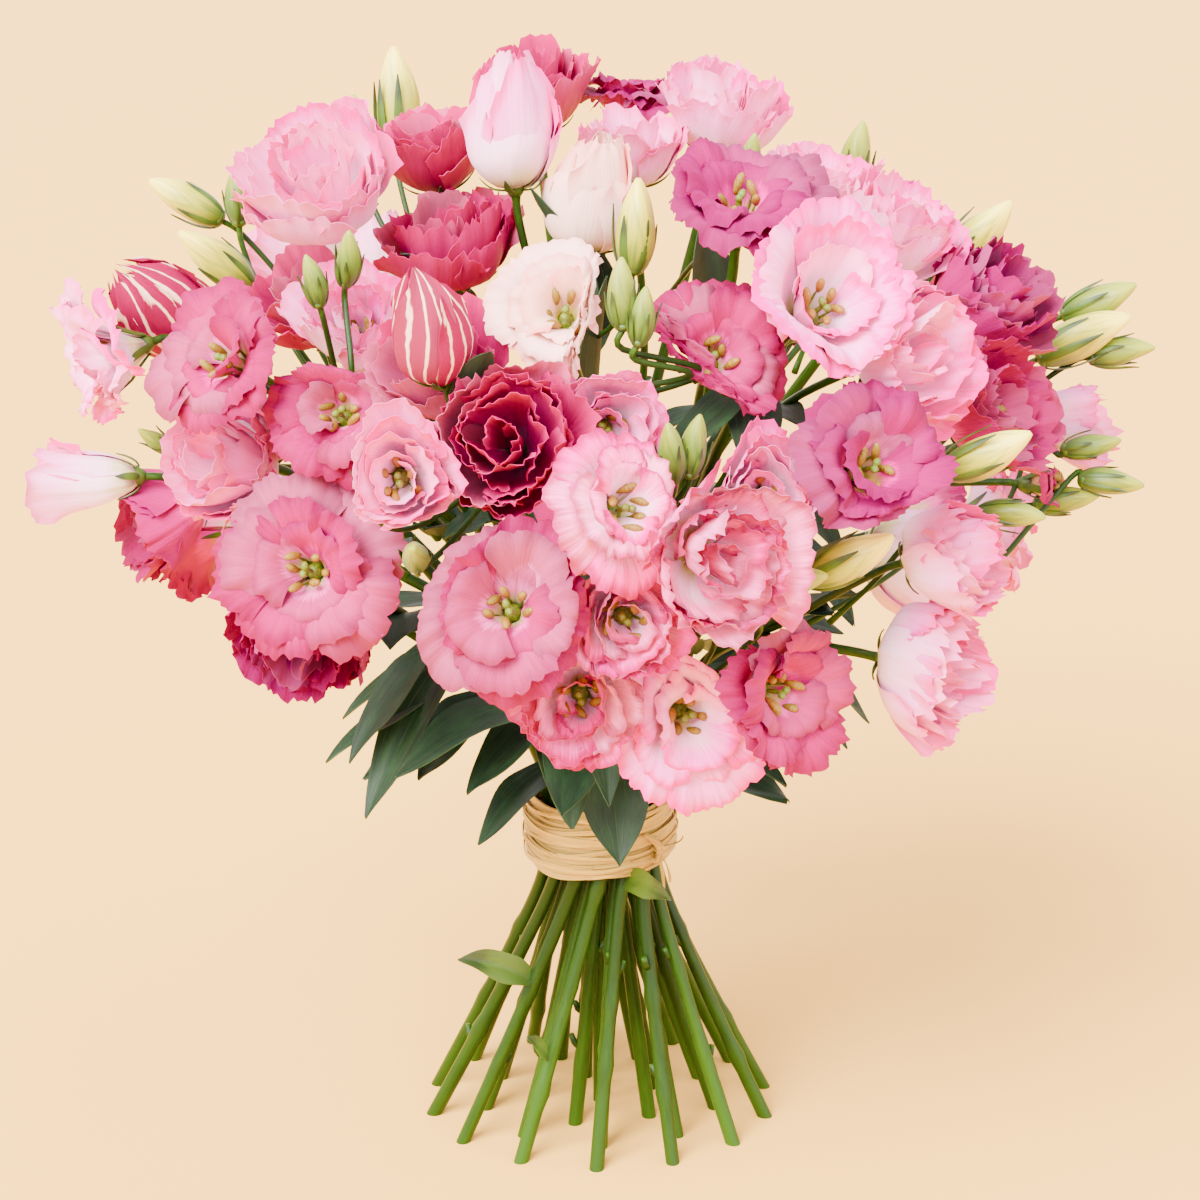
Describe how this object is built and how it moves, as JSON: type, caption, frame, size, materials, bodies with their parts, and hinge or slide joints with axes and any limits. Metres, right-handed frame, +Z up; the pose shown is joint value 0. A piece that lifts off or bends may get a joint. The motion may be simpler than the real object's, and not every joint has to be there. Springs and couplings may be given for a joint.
{
  "type": "hand-tied lisianthus bouquet",
  "caption": "Spiral hand-tied bouquet of lisianthus in pinks and cream, bound with raffia, which stands by itself on its splayed cut stems.",
  "frame": {"origin": "middle of the bouquet's box, on the surface that the cut stem ends stand on", "axes": "+Z up along the bouquet, -Y towards the viewer who sees its fullest side, +X to that viewer's right"},
  "size_m": [0.4224, 0.3348, 0.4419],
  "materials": {
    "raffia": "dry fibrous straw-coloured raffia",
    "greenery": "waxy satin green stems, leaves and buds",
    "petals_pink": "soft matt petals, mid pink rim paling to a cream throat",
    "petals_blush": "soft matt petals, pale blush pink",
    "petals_deep": "soft matt petals, deep raspberry pink",
    "petals_cream": "soft matt petals, cream white",
    "petals_striped": "soft matt petals, raspberry edged with cream"
  },
  "bodies": {
    "root": {"raffia_tie": "raffia", "stem_01": "greenery", "stem_02": "greenery", "stem_03": "greenery", "stem_04": "greenery", "stem_05": "greenery", "stem_06": "greenery", "stem_07": "greenery", "stem_08": "greenery", "stem_09": "greenery", "stem_10": "greenery", "stem_11": "greenery", "stem_12": "greenery", "stem_13": "greenery", "stem_14": "greenery", "stem_15": "greenery", "stem_16": "greenery", "stem_17": "greenery", "stem_18": "greenery", "stem_19": "greenery", "stem_20": "greenery", "stem_21": "greenery", "stem_22": "greenery", "stem_23": "greenery", "stem_24": "greenery", "stem_25": "greenery", "stem_26": "greenery", "stem_27": "greenery", "stem_28": "greenery", "stem_29": "greenery", "blooms_01": "petals_pink", "blooms_02": "petals_pink", "blooms_03": "petals_pink", "blooms_04": "petals_blush", "blooms_05": "petals_pink", "blooms_06": "petals_blush", "blooms_07": "petals_pink", "blooms_08": "petals_blush", "blooms_09": "petals_deep", "blooms_10": "petals_blush", "blooms_11": "petals_pink", "blooms_12": "petals_striped", "blooms_13": "petals_blush", "blooms_14": "petals_deep", "blooms_15": "petals_cream", "blooms_16": "petals_cream", "blooms_17": "petals_deep", "blooms_18": "petals_blush", "blooms_19": "petals_pink", "blooms_20": "petals_blush", "blooms_21": "petals_blush", "blooms_22": "petals_pink", "blooms_23": "petals_blush", "blooms_24": "petals_striped", "blooms_25": "petals_blush", "blooms_26": "petals_pink", "blooms_27": "petals_deep", "blooms_28": "petals_blush", "blooms_29": "petals_pink"}
  },
  "joints": []
}
